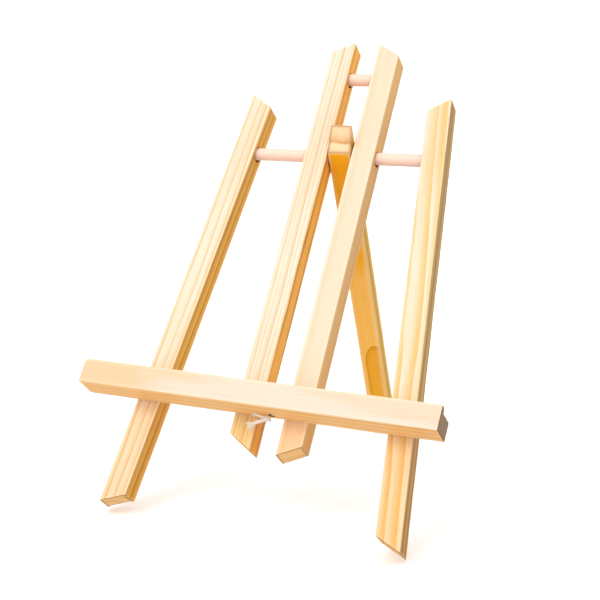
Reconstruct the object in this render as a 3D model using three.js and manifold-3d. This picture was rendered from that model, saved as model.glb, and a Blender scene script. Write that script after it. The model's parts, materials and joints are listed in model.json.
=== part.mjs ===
// A tabletop artist's easel in pine: four slats joined by two dowels, a ledge for the canvas
// across their fronts, and a rear leg that swings on the long dowel until a string pulls taut.
// Millimetres, +Z up, the front faces -Y. The origin is under the middle, on the table top.
import * as THREE from "three";
import { mergeVertices } from "three/addons/utils/BufferGeometryUtils.js";
import Module from "manifold-3d";

const wasm = await Module();
wasm.setup();

// ---------- driving dimensions ----------

// stance
const frameLean = 38.2; // degrees, front frame back from upright
const legOpening = 61.4; // degrees, rear leg away from the front frame with the string taut
const rackAngle = 1.3; // degrees, slats and dowels out of square with the ledge, top to the left
const footDrop = 246.3; // along the front frame, long dowel down to the feet

// slats: four sticks of one stock, each with both ends sawn off at an angle
const slatWidth = 15;
const slatThickness = 14.4;
const innerGap = 16.3; // between the two inner uprights

// side is -1 on the left and 1 on the right; top and bottom are the middles of the end cuts above
// and below the long dowel; cuts are in degrees. An outer leg's reach is from the midline to its
// middle at the long dowel, its splay in degrees turns the foot outwards, and it ends on the table.
const outerLegs = [
  { name: "left_outer_leg", side: -1, reach: 65.6, splay: 4.75, top: 36.6, topCut: 32.1, bottomCut: 19.9 },
  { name: "right_outer_leg", side: 1, reach: 61.0, splay: 5.55, top: 37.0, topCut: 32.3, bottomCut: 25.7 },
];
const innerUprights = [
  { name: "left_inner_upright", side: -1, top: 79.3, bottom: 197.3, topCut: 25.2, bottomCut: 32.0 },
  { name: "right_inner_upright", side: 1, top: 77.9, bottom: 199.6, topCut: 29.7, bottomCut: 25.6 },
];

// dowels
const dowelDiameter = 8;
const dowelWall = 4; // wood left beyond the blind holes in the outer legs
const topDowelHeight = 58.5; // short dowel above the long one
const topDowelWall = 4;

// ledge
const ledgeLeftOverhang = 40.1; // past the middle of the outer leg it is pinned to
const ledgeRightOverhang = 26.7;
const ledgeHeight = 15.3;
const ledgeDepth = 18.4;
const ledgeDrop = 181.2; // its underside below the long dowel
const lipHeight = 3.2;
const lipThickness = 4;
const lipSlope = 0.3; // the lip's inner face leans out by this at its top
const ledgeRound = 1.2; // rounding of the two front edges

// rear leg
const legPlay = 0.65; // on each side, between the inner uprights
const legThickness = 11;
const headFront = 5.7; // top of its front face above the dowel, where the slanted end cut starts
const headBack = 20.5; // top of its back face above the dowel

// string
const stringDiameter = 1.6;
const stringBore = 3.2;
const stringLegDrop = 193; // hole in the rear leg below the long dowel
const stringLedgeShift = 2.2; // hole in the ledge, right of the slats' midline
const stringHoleSet = 4.6; // mouths of the slanting hole from the ledge's lower back edge
const stringSteps = 78;
const stringSides = 8;
const knotRadius = 2.5;
const frontTailLength = 11; // frayed end, out of the knot under the ledge to the left
const rearTailLength = 7; // end out of the knot behind the rear leg, hanging back

// panel pins that hold the ledge, driven from the back
const pinDiameter = 1.6;
const pinLength = 28;
const pinHeadDiameter = 3.2;
const pinHeadThickness = 1;
const pinHeight = 0.5; // share of the ledge's height at which they stand

const gap = 0.3; // between pieces that touch
const runningGap = 0.3; // around the dowel in the rear leg
const roundSides = 28;
const smallSides = 12;
const overshoot = 5; // cutters stand this far proud

// ---------- materials ----------

const pineFront = new THREE.MeshStandardMaterial({ color: 0xf6dcb4, roughness: 0.62, metalness: 0 });
const pineLedge = new THREE.MeshStandardMaterial({ color: 0xf3d2a6, roughness: 0.62, metalness: 0 });
const pineLeg = new THREE.MeshStandardMaterial({ color: 0xe2a548, roughness: 0.62, metalness: 0 });
const birchDowel = new THREE.MeshStandardMaterial({ color: 0xf2dcc6, roughness: 0.55, metalness: 0 });
const cotton = new THREE.MeshStandardMaterial({ color: 0xf1ece4, roughness: 0.95, metalness: 0 });
const steel = new THREE.MeshStandardMaterial({ color: 0xb9bcc0, roughness: 0.35, metalness: 1 });

// ---------- geometry helpers ----------

const radians = THREE.MathUtils.degToRad;

function solidFrom(geometry) {
  const bare = geometry.clone();
  bare.deleteAttribute("normal");
  bare.deleteAttribute("uv");
  const merged = mergeVertices(bare, 1e-4);
  return new wasm.Manifold(
    new wasm.Mesh({
      numProp: 3,
      vertProperties: merged.attributes.position.array,
      triVerts: new Uint32Array(merged.index.array),
    }),
  );
}

function geometryFrom(solid) {
  const mesh = solid.getMesh();
  const geometry = new THREE.BufferGeometry();
  geometry.setAttribute("position", new THREE.BufferAttribute(mesh.vertProperties, 3));
  geometry.setIndex(new THREE.BufferAttribute(mesh.triVerts, 1));
  geometry.computeVertexNormals();
  return geometry;
}

function cut(geometry, ...cutters) {
  return geometryFrom(cutters.reduce((left, tool) => left.subtract(solidFrom(tool)), solidFrom(geometry)));
}

function join(geometry, ...others) {
  return geometryFrom(others.reduce((whole, other) => whole.add(solidFrom(other)), solidFrom(geometry)));
}

// A round bar from one point to another.
function bar(from, to, diameter, sides = roundSides) {
  const axis = to.clone().sub(from);
  const geometry = new THREE.CylinderGeometry(diameter / 2, diameter / 2, axis.length(), sides);
  const upright = new THREE.Vector3(0, 1, 0); // a cylinder's own axis
  const turn = new THREE.Quaternion().setFromUnitVectors(upright, axis.normalize());
  const middle = from.clone().add(to).multiplyScalar(0.5);
  return geometry.applyQuaternion(turn).translate(middle.x, middle.y, middle.z);
}

// An outline in X and Z, given thickness from the front plane towards the back.
function plank(outline, front, thickness) {
  const shape = new THREE.Shape(outline.map(([x, z]) => new THREE.Vector2(x, z)));
  const geometry = new THREE.ExtrudeGeometry(shape, { depth: thickness, bevelEnabled: false });
  return geometry.rotateX(Math.PI / 2).translate(0, front + thickness, 0);
}

// An outline in Y and Z, given width along X about the middle.
function profileBar(outline, width) {
  const shape = new THREE.Shape(outline.map(([y, z]) => new THREE.Vector2(y, z)));
  const geometry = new THREE.ExtrudeGeometry(shape, { depth: width, bevelEnabled: false });
  return geometry.rotateX(Math.PI / 2).rotateZ(Math.PI / 2).translate(-width / 2, 0, 0);
}

function addMesh(group, name, geometry, material) {
  const mesh = new THREE.Mesh(geometry, material);
  mesh.name = name;
  group.add(mesh);
}

// ---------- groups ----------

// easel -> frontFrame (leaned back) -> slats (racked) -> swing (rear leg on the long dowel)
const easel = new THREE.Group();
const frontFrame = new THREE.Group();
const slats = new THREE.Group();
const swing = new THREE.Group();
const axleSet = slatThickness / 2; // dowels run through the middle of the slats' thickness
frontFrame.rotation.x = -radians(frameLean);
slats.rotation.y = -radians(rackAngle);
swing.rotation.x = radians(legOpening);
swing.position.y = axleSet;
easel.add(frontFrame);
frontFrame.add(slats);
slats.add(swing);
easel.updateMatrixWorld(true);

// ---------- slats ----------

// the inner uprights stand parallel, one slat's half and half the gap from the midline
for (const upright of innerUprights) {
  upright.reach = (innerGap + slatWidth) / 2;
  upright.splay = 0;
}
const rack = radians(rackAngle);

// Directions of a slat that leans in towards the midline as it rises.
function slatAxes({ side, splay }) {
  const lean = radians(splay);
  const along = new THREE.Vector2(-side * Math.sin(lean), Math.cos(lean));
  const outward = new THREE.Vector2(side * Math.cos(lean), Math.sin(lean));
  return { along, outward };
}

// A point of the slat at the long dowel's height, offset outwards from its middle line.
function besideDowel(slat, offset) {
  return new THREE.Vector2(slat.side * slat.reach, 0).addScaledVector(slatAxes(slat).outward, offset);
}

// Where the slat's edge, offset outwards from its middle line, meets a cut that rises outwards.
function edgeAtCut(slat, offset, cutPoint, cutAngle) {
  const along = slatAxes(slat).along;
  const start = besideDowel(slat, offset);
  const rise = radians(cutAngle);
  const cutNormal = new THREE.Vector2(-slat.side * Math.sin(rise), Math.cos(rise));
  return start.addScaledVector(along, cutPoint.clone().sub(start).dot(cutNormal) / along.dot(cutNormal));
}

function pointOnSlat({ side, reach, splay }, height) {
  return new THREE.Vector2(side * (reach - height * Math.tan(radians(splay))), height);
}

// The outer leg's lowest corner stands on the table, whatever the rack.
function footCorner(slat) {
  const along = slatAxes(slat).along;
  const start = besideDowel(slat, slatWidth / 2);
  const up = new THREE.Vector2(Math.sin(rack), Math.cos(rack));
  return start.addScaledVector(along, (-footDrop - start.dot(up)) / along.dot(up));
}

// A slat between its two cuts, whose rises outwards are given in degrees.
function slatBlank(slat, topRise, bottomPoint, bottomRise) {
  const half = slatWidth / 2;
  const topPoint = pointOnSlat(slat, slat.top);
  const outline = [
    edgeAtCut(slat, half, topPoint, topRise),
    edgeAtCut(slat, -half, topPoint, topRise),
    edgeAtCut(slat, -half, bottomPoint, bottomRise),
    edgeAtCut(slat, half, bottomPoint, bottomRise),
  ];
  return plank(outline.map((corner) => corner.toArray()), 0, slatThickness);
}

// ---------- dowels and the holes for them ----------

const longDowelEnds = outerLegs.map(({ side, reach }) => side * (reach + slatWidth / 2 - dowelWall));
const topDowelEnd = innerGap / 2 + slatWidth - topDowelWall;

function dowelBar(left, right, height, diameter) {
  return bar(new THREE.Vector3(left, axleSet, height), new THREE.Vector3(right, axleSet, height), diameter);
}

function axleCutter() {
  return dowelBar(longDowelEnds[0] - gap, longDowelEnds[1] + gap, 0, dowelDiameter + 2 * gap);
}

function topDowelCutter() {
  return dowelBar(-topDowelEnd - gap, topDowelEnd + gap, topDowelHeight, dowelDiameter + 2 * gap);
}

// ---------- ledge ----------

const ledgeFront = -gap - ledgeDepth; // Y of its front face
const ledgeBack = -gap;

// Where a point of the racked slats comes in the plane of the ledge.
function unracked(point) {
  return new THREE.Vector2(
    point.x * Math.cos(rack) - point.y * Math.sin(rack),
    point.x * Math.sin(rack) + point.y * Math.cos(rack),
  );
}

const ledgeMiddle = unracked(new THREE.Vector2(0, -ledgeDrop));
const ledgeUnderside = ledgeMiddle.y;
const pinRise = ledgeUnderside + pinHeight * ledgeHeight;

// A quarter round between two edges, as points from the first angle to the second.
function roundCorner(centreY, centreZ, radius, fromDegrees, toDegrees, steps = 4) {
  return Array.from({ length: steps + 1 }, (_, i) => {
    const angle = radians(fromDegrees + ((toDegrees - fromDegrees) * i) / steps);
    return [centreY + radius * Math.cos(angle), centreZ + radius * Math.sin(angle)];
  });
}

function ledgeOutline() {
  const low = ledgeUnderside;
  const high = low + ledgeHeight;
  const shelf = high - lipHeight;
  return [
    [ledgeBack, low],
    [ledgeBack, shelf],
    [ledgeFront + lipThickness, shelf],
    [ledgeFront + lipThickness - lipSlope, high],
    ...roundCorner(ledgeFront + ledgeRound, high - ledgeRound, ledgeRound, 90, 180),
    ...roundCorner(ledgeFront + ledgeRound, low + ledgeRound, ledgeRound, 180, 270),
  ];
}

// ---------- panel pins: one through each slat into the ledge ----------

// The middle of a slat at the pins' height in the plane of the ledge.
function pinSpot(slat) {
  const foot = unracked(pointOnSlat(slat, -footDrop));
  const head = unracked(pointOnSlat(slat, 0));
  return foot.lerp(head, (pinRise - foot.y) / (head.y - foot.y));
}

// A pin with its head flush in the back of the slat, made larger all round by the clearance.
function pinShape(slat, clearance) {
  const spot = pinSpot(slat);
  const at = (y) => new THREE.Vector3(spot.x, y, spot.y);
  const tip = at(slatThickness - pinLength - clearance);
  const shoulder = at(slatThickness - pinHeadThickness - clearance);
  const top = at(clearance > 0 ? slatThickness + overshoot : slatThickness);
  const shank = bar(tip, top, pinDiameter + 2 * clearance, smallSides);
  const head = bar(shoulder, top, pinHeadDiameter + 2 * clearance, smallSides);
  return join(shank, head);
}

function pinHoleInSlat(slat) {
  return pinShape(slat, gap).rotateY(rack); // from the ledge's axes to the racked slats'
}

// ---------- rear leg ----------

const drop = Math.sin(radians(legOpening)) * Math.sin(radians(frameLean));
const dropAlong = Math.cos(radians(legOpening)) * Math.cos(radians(frameLean)) * Math.cos(rack);
const axleHeight =
  footDrop * Math.cos(radians(frameLean)) + (slatThickness - axleSet) * Math.sin(radians(frameLean));
const legLength = axleHeight / (drop + dropAlong); // long dowel to the table, along the leg

const legWidth = innerGap - 2 * legPlay;

// Side outline of the leg about the dowel: flat faces and a slanted end cut that faces forward.
function legOutline() {
  const half = legThickness / 2;
  const low = -legLength - legThickness;
  return [[-half, low], [half, low], [half, headBack], [-half, headFront]];
}

// A block below the table top at the leg's foot, in the leg's own axes.
function tableCutter() {
  const size = 4 * legLength;
  const tableTop = new THREE.Vector3(0, slatThickness, -footDrop).applyMatrix4(frontFrame.matrixWorld).z;
  const foot = new THREE.Vector3(0, 0, -legLength).applyMatrix4(swing.matrixWorld);
  const block = new THREE.BoxGeometry(size, size, size).translate(foot.x, foot.y, tableTop - size / 2);
  return block.applyMatrix4(swing.matrixWorld.clone().invert());
}

// ---------- string ----------

// The hole in the ledge slants from its underside up to its back face.
const stringAcross = ledgeMiddle.x + stringLedgeShift;
const undersideMouth = new THREE.Vector3(stringAcross, ledgeBack - stringHoleSet, ledgeUnderside);
const backMouth = new THREE.Vector3(stringAcross, ledgeBack, ledgeUnderside + stringHoleSet);
const legFrontMouth = new THREE.Vector3(0, -legThickness / 2, -stringLegDrop);
const legBackMouth = new THREE.Vector3(0, legThickness / 2, -stringLegDrop);

const inEasel = (point, group) => point.clone().applyMatrix4(group.matrixWorld);

function extended(from, to, extra) {
  return to.clone().addScaledVector(to.clone().sub(from).normalize(), extra);
}

// Straight runs between the mouths, from just inside the ledge, each turn eased over two diameters.
function stringPath() {
  const corners = [
    inEasel(extended(backMouth, undersideMouth, -stringDiameter / 2), frontFrame),
    inEasel(backMouth, frontFrame),
    inEasel(legFrontMouth, swing),
    inEasel(legBackMouth, swing),
  ];
  const ease = 2 * stringDiameter;
  const path = new THREE.CurvePath();
  let from = corners[0];
  for (let i = 1; i < corners.length - 1; i++) {
    const before = extended(corners[i - 1], corners[i], -ease);
    const after = extended(corners[i + 1], corners[i], -ease);
    path.add(new THREE.LineCurve3(from, before));
    path.add(new THREE.QuadraticBezierCurve3(before, corners[i], after));
    from = after;
  }
  path.add(new THREE.LineCurve3(from, corners[corners.length - 1]));
  return path;
}

function stringTube() {
  const radius = stringDiameter / 2;
  const corner = new THREE.Vector2(radius, 0);
  const corners = Array.from({ length: stringSides }, (_, i) =>
    corner.clone().rotateAround(new THREE.Vector2(), (2 * Math.PI * i) / stringSides),
  );
  const settings = { steps: stringSteps, bevelEnabled: false, extrudePath: stringPath() };
  return new THREE.ExtrudeGeometry(new THREE.Shape(corners), settings);
}

// A knot with its frayed tail: seat is the mouth it is pulled against, out points away from the wood.
function knot(seat, out, tail, tailLength) {
  const middle = seat.clone().addScaledVector(out, gap + knotRadius);
  const ball = new THREE.SphereGeometry(knotRadius, smallSides, stringSides);
  ball.translate(middle.x, middle.y, middle.z);
  const tailEnd = middle.clone().addScaledVector(tail, knotRadius + tailLength);
  return join(ball, bar(middle, tailEnd, stringDiameter, stringSides));
}

// ---------- assembly ----------

function buildSlats() {
  for (const leg of outerLegs) {
    const blank = slatBlank(leg, leg.topCut, footCorner(leg), -leg.bottomCut);
    addMesh(slats, leg.name, cut(blank, axleCutter(), pinHoleInSlat(leg)), pineFront);
  }
  for (const upright of innerUprights) {
    const bottomPoint = pointOnSlat(upright, -upright.bottom);
    const blank = slatBlank(upright, -upright.topCut, bottomPoint, upright.bottomCut);
    const holes = [axleCutter(), topDowelCutter(), pinHoleInSlat(upright)];
    addMesh(slats, upright.name, cut(blank, ...holes), pineFront);
  }
}

function buildDowels() {
  const long = dowelBar(longDowelEnds[0], longDowelEnds[1], 0, dowelDiameter);
  const short = dowelBar(-topDowelEnd, topDowelEnd, topDowelHeight, dowelDiameter);
  addMesh(slats, "pivot_dowel", long, birchDowel);
  addMesh(slats, "top_dowel", short, birchDowel);
}

function buildLedge() {
  const left = pinSpot(outerLegs[0]).x - ledgeLeftOverhang;
  const right = pinSpot(outerLegs[1]).x + ledgeRightOverhang;
  const blank = profileBar(ledgeOutline(), right - left).translate((left + right) / 2, 0, 0);
  const stringHole = bar(
    extended(backMouth, undersideMouth, overshoot),
    extended(undersideMouth, backMouth, overshoot),
    stringBore,
    smallSides,
  );
  const pinned = [...outerLegs, ...innerUprights];
  const pinHoles = pinned.map((slat) => pinShape(slat, gap));
  addMesh(frontFrame, "ledge", cut(blank, stringHole, ...pinHoles), pineLedge);
  for (const slat of pinned) addMesh(frontFrame, `${slat.name}_pin`, pinShape(slat, 0), steel);
}

function buildRearLeg() {
  const blank = profileBar(legOutline(), legWidth);
  const half = legWidth / 2 + overshoot;
  const axleHole = bar(
    new THREE.Vector3(-half, 0, 0),
    new THREE.Vector3(half, 0, 0),
    dowelDiameter + 2 * runningGap,
  );
  const stringHole = bar(
    extended(legBackMouth, legFrontMouth, overshoot),
    extended(legFrontMouth, legBackMouth, overshoot),
    stringBore,
    smallSides,
  );
  addMesh(swing, "rear_leg", cut(blank, axleHole, stringHole, tableCutter()), pineLeg);
}

function buildString() {
  addMesh(easel, "check_string", stringTube(), cotton);
  const down = new THREE.Vector3(0, 0, -1);
  const back = new THREE.Vector3(0, 1, 0);
  const toLeft = new THREE.Vector3(-0.9, -0.1, -0.42).normalize();
  const hanging = new THREE.Vector3(0.3, 0.5, -0.8).normalize();
  addMesh(frontFrame, "front_knot", knot(undersideMouth, down, toLeft, frontTailLength), cotton);
  addMesh(swing, "rear_knot", knot(legBackMouth, back, hanging, rearTailLength), cotton);
}

buildSlats();
buildDowels();
buildLedge();
buildRearLeg();
buildString();

// Stand the easel on the table top, with the middle of its wooden outline over the origin.
const outline = new THREE.Box3();
easel.updateMatrixWorld(true);
easel.traverse((part) => {
  if (part.isMesh && part.material !== cotton) outline.expandByObject(part, true);
});
const middle = outline.getCenter(new THREE.Vector3());
easel.position.set(-middle.x, -middle.y, -outline.min.z);

export default easel;
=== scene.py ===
import json
import math

import bpy
import numpy as np
from mathutils import Matrix, Vector


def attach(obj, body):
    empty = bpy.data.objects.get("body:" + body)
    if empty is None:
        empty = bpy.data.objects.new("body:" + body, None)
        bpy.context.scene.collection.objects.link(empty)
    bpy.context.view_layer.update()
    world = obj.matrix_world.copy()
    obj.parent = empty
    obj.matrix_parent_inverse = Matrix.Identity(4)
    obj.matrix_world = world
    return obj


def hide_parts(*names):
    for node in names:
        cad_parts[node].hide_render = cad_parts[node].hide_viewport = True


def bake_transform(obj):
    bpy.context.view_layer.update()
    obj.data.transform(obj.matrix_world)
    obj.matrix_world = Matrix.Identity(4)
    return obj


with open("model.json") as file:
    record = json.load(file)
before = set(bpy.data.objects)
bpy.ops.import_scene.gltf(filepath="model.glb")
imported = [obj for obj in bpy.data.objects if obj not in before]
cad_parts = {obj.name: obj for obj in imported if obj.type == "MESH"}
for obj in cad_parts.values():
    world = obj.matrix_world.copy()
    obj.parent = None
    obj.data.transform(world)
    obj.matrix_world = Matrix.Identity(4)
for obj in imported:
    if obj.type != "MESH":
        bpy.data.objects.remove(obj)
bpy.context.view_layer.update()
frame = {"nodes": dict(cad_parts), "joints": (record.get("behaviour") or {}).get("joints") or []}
mm = 0.001
print("frame loaded:", len(frame["nodes"]), "nodes")

# camera and view

shot = {
    "place": (0.3268, -0.8037, 0.3074),
    "azimuth": 23.82,
    "elevation": 13.38,
    "roll": 0.5,
    "lens": 85.4,
    "shift": (0.0436, 0.0288),
}


def makeCamera():
    data = bpy.data.cameras.new("camera")
    camera = bpy.data.objects.new("camera", data)
    bpy.context.scene.collection.objects.link(camera)
    data.lens = shot["lens"]
    data.shift_x, data.shift_y = shot["shift"]
    data.clip_start, data.clip_end = 0.01, 60
    turn = Matrix.Rotation(math.radians(shot["azimuth"]), 3, "Z")
    tip = Matrix.Rotation(math.radians(90 - shot["elevation"]), 3, "X")
    roll = Matrix.Rotation(math.radians(shot["roll"]), 3, "Z")
    camera.matrix_world = Matrix.Translation(shot["place"]) @ (turn @ tip @ roll).to_4x4()
    bpy.context.scene.camera = camera


makeCamera()
print("camera placed")

# axes of the pieces, as the rows across, back and up of a 3 by 3 array

stance = {
    "lean": 38.2,  # degrees, front frame back from upright
    "rack": 1.3,  # degrees, slats out of square with the ledge
    "opening": 61.4,  # degrees, rear leg from the front frame
    "outerSplay": {"left_outer_leg": 4.75, "right_outer_leg": -5.55},
}
hinge = frame["joints"][0]
hingePlace = np.array(hinge["pos_m"])


def turned(axes, about, degrees):
    # all three directions turned by the right-hand rule round one of them
    turn = np.array(Matrix.Rotation(math.radians(degrees), 3, Vector(axes[about])))
    return axes @ turn.T


ledgeAxes = turned(np.eye(3), 0, -stance["lean"])
slatAxes = turned(ledgeAxes, 1, -stance["rack"])
legAxes = turned(slatAxes, 0, stance["opening"])


def outlinePoints(node, axes):
    # the CAD node's corners as across, back and up distances from the hinge
    count = len(frame["nodes"][node].data.vertices)
    points = np.empty(count * 3)
    frame["nodes"][node].data.vertices.foreach_get("co", points)
    return (points.reshape(-1, 3) - hingePlace) @ axes.T


# surfaces

surfaceFacts = {
    "cornerReach": 0.8 * mm,  # how far a corner's wear, and the painted highlight on it, spreads over the faces beside it
    "endReach": 0.7 * mm,
    "endRings": 5,  # rings in the quarter circle at each end
    "leastSide": 0.72,  # least share of the direction across in a side face's normal
    "leastEnd": 0.5,
    "sharpAngle": math.radians(38),
}

def roundedLoop(corners, radius, step):
    # A closed outline: straight runs between the corners, each corner an arc of the radius, and
    # points about a step apart. Corners go round anticlockwise, and each run is sampled evenly.
    corners = np.array(corners, float)
    before, after = np.roll(corners, 1, 0), np.roll(corners, -1, 0)
    toBefore = (before - corners) / np.linalg.norm(before - corners, axis=1)[:, None]
    toAfter = (after - corners) / np.linalg.norm(after - corners, axis=1)[:, None]
    half = np.arccos(np.clip((toBefore * toAfter).sum(1), -1, 1)) / 2
    cutBack = radius / np.tan(half)
    start, end = corners + toBefore * cutBack[:, None], corners + toAfter * cutBack[:, None]
    t = np.linspace(0, 1, 6)[:, None, None]
    arcs = (1 - t) ** 2 * start + 2 * t * (1 - t) * corners + t**2 * end
    loop = []
    for i in range(len(corners)):
        loop.append(arcs[:, i])
        reach = np.linalg.norm(start[(i + 1) % len(corners)] - end[i])
        s = np.linspace(0, 1, max(2, int(reach / step)))[1:-1, None]
        loop.append(end[i] * (1 - s) + start[(i + 1) % len(corners)] * s)
    return np.concatenate(loop)


def inwardNormals(loop):
    # square to the chord between each point's neighbours, to the left of an anticlockwise outline
    chord = np.roll(loop, -1, 0) - np.roll(loop, 1, 0)
    normal = np.stack([-chord[:, 1], chord[:, 0]], 1)
    return normal / np.linalg.norm(normal, axis=1)[:, None]


def cornerShare(loop, reach):
    # 1 where the outline turns a corner and 0 on its straight runs, spread over the reach
    chord = np.roll(loop, -1, 0) - loop
    angle = np.unwrap(np.arctan2(chord[:, 1], chord[:, 0]))
    turn = np.abs(angle - np.roll(angle, 1))
    turn = np.minimum(turn, 2 * np.pi - turn)
    arc = np.concatenate([[0], np.cumsum(np.linalg.norm(chord, axis=1))])[:-1]
    whole = np.linalg.norm(chord, axis=1).sum()
    gap = np.abs(arc[:, None] - arc[None, turn > 0.08])
    gap = np.minimum(gap, whole - gap)
    return np.exp(-((gap.min(1) / reach) ** 2))


def unevenness(length, seed, waves=9, longest=0.12):
    # a smooth line between 0 and 1: sine waves of falling length and height, with seeded phases
    rng = np.random.default_rng(seed)
    rank = np.arange(1, waves + 1)[:, None]
    turns = rank * np.asarray(length)[None] / longest
    wave = np.sin(2 * np.pi * turns + rng.uniform(0, 6.28, (waves, 1)))
    line = (wave / rank**0.7).sum(0)
    return 0.5 + 0.5 * line / (1 / rank**0.7).sum()


def cornerDrop(distance, radius):
    # how far a quarter circle has fallen from its top at this distance in from the side
    inward = np.clip(1 - distance / radius, 0, 1)
    return radius * (1 - np.sqrt(1 - inward**2))


def carried(loop, inset, along, axes, place):
    # The outline carried along a piece: point j of ring i is the outline's point j, moved in by
    # inset[i, j], at the distance along[i, j] on the third axis. axes are the outline's two and that.
    flat = loop[None] + inset[..., None] * inwardNormals(loop)[None]
    return place + flat[..., :1] * axes[0] + flat[..., 1:] * axes[1] + along[..., None] * axes[2]


def addMesh(name, rings, capped=True, closed=False, values=None):
    # Quads between neighbouring rings, and a flat face over each end. The rings' own values become
    # attributes of the points. Faces are turned over if the solid comes out inside out.
    n, m = rings.shape[:2]
    ring = np.arange(n if closed else n - 1)[:, None] * m
    step = np.arange(m)[None]
    following = (ring + m) % (n * m)
    quads = np.stack(
        [ring + step, ring + (step + 1) % m, following + (step + 1) % m, following + step], -1
    ).reshape(-1, 4)
    points = rings.reshape(-1, 3)
    centre = points.mean(0)
    a, b, c, d = (points[quads[:, k]] - centre for k in range(4))
    volume = (np.cross(b - a, c - a) * a).sum() + (np.cross(c - a, d - a) * a).sum()
    faces = quads.tolist()
    if capped:
        faces += [list(range(m))[::-1], list(range((n - 1) * m, n * m))]
    if volume < 0:
        faces = [face[::-1] for face in faces]
    mesh = bpy.data.meshes.new(name)
    mesh.from_pydata(points.tolist(), [], faces)
    mesh.polygons.foreach_set("use_smooth", [True] * len(faces))
    for key, value in (values or {}).items():
        attribute = mesh.attributes.new(key, "FLOAT", "POINT")
        attribute.data.foreach_set("value", np.broadcast_to(value, (n, m)).astype(np.float32).ravel())
    piece = bpy.data.objects.new(name, mesh)
    bpy.context.scene.collection.objects.link(piece)
    return piece


def closedEnds(rings, values, share=0.2):
    # one more ring inside each end, drawn in by the share towards its middle, where the values are 0
    ends = [ring * (1 - share) + share * ring.mean(0) for ring in (rings[0], rings[-1])]
    values = {key: np.pad(value, ((1, 1), (0, 0))) for key, value in values.items()}
    return np.concatenate([ends[:1], rings, ends[1:]]), values


def rod(name, start, end, radius, sides=48, chamfer=0.4 * mm, step=4 * mm, uneven=0.0, seed=1):
    # a round bar: circles of the radius at stations along its line, smaller where the ends are chamfered
    start, end = np.array(start, float), np.array(end, float)
    length = np.linalg.norm(end - start)
    along = (end - start) / length
    side = np.cross(along, [0.3, 0.2, 0.93])
    side /= np.linalg.norm(side)
    stations = np.linspace(chamfer, length - chamfer, max(3, int(length / step)))
    stations = np.concatenate([[0], stations, [length]])
    radii = np.full(len(stations), radius) - uneven * unevenness(stations, seed)
    radii[[0, -1]] = radius - chamfer
    angle = np.linspace(0, 2 * np.pi, sides, endpoint=False)
    circle = np.cos(angle)[:, None] * side + np.sin(angle)[:, None] * np.cross(along, side)
    rings = start + stations[:, None, None] * along + radii[:, None, None] * circle[None]
    return addMesh(name, rings)


def bore(piece, start, end, radius, sides=48):
    # a round hole from start to end, taken out of the piece; its wall's faces carry bored = 1
    cutter = rod("cutter", start, end, radius, sides, chamfer=0.01 * mm, step=1)
    for body, value in ((piece, 0.0), (cutter, 1.0)):
        if "bored" not in body.data.attributes:
            faces = len(body.data.polygons)
            body.data.attributes.new("bored", "FLOAT", "FACE").data.foreach_set("value", [value] * faces)
    cut = piece.modifiers.new("bore", "BOOLEAN")
    cut.operation, cut.object, cut.solver = "DIFFERENCE", cutter, "EXACT"
    bpy.context.view_layer.update()
    bored = bpy.data.meshes.new_from_object(piece.evaluated_get(bpy.context.evaluated_depsgraph_get()))
    piece.modifiers.clear()
    piece.data = bored
    bpy.data.objects.remove(cutter)


def edgeWear(corner, endNear):
    # 1 at a corner or an end and 0 away from both, falling as a bell curve of the distance
    return np.maximum(corner[None], np.exp(-((endNear / surfaceFacts["endReach"]) ** 2)))


def quarterTurn(radius):
    # how far the rings at an end draw in, and how far they rise, along a quarter circle
    turn = np.linspace(0, np.pi / 2, surfaceFacts["endRings"])
    return radius * (1 - np.sin(turn)), radius * (1 - np.cos(turn))


def markFaces(piece, axes, leastEnd=surfaceFacts["leastEnd"]):
    # sideFace is 1 on faces across the first axis, and endFace on cuts across the third
    mesh = piece.data
    mesh.name = piece.name
    normals = np.empty(len(mesh.polygons) * 3)
    mesh.polygons.foreach_get("normal", normals)
    share = np.abs(normals.reshape(-1, 3) @ axes.T)
    for key, column, least in (("sideFace", 0, surfaceFacts["leastSide"]), ("endFace", 2, leastEnd)):
        attribute = mesh.attributes.new(key, "FLOAT", "FACE")
        attribute.data.foreach_set("value", (share[:, column] > least).astype(np.float32))
    mesh.polygons.foreach_set("use_smooth", [True] * len(mesh.polygons))
    mesh.set_sharp_from_angle(angle=surfaceFacts["sharpAngle"])


def finishPiece(piece, body, material, slot, *nodes):
    piece.data.materials.clear()
    piece.data.materials.append(material)
    if body:
        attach(piece, body)
    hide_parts(*nodes)
    return piece


# node helpers for the materials


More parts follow.
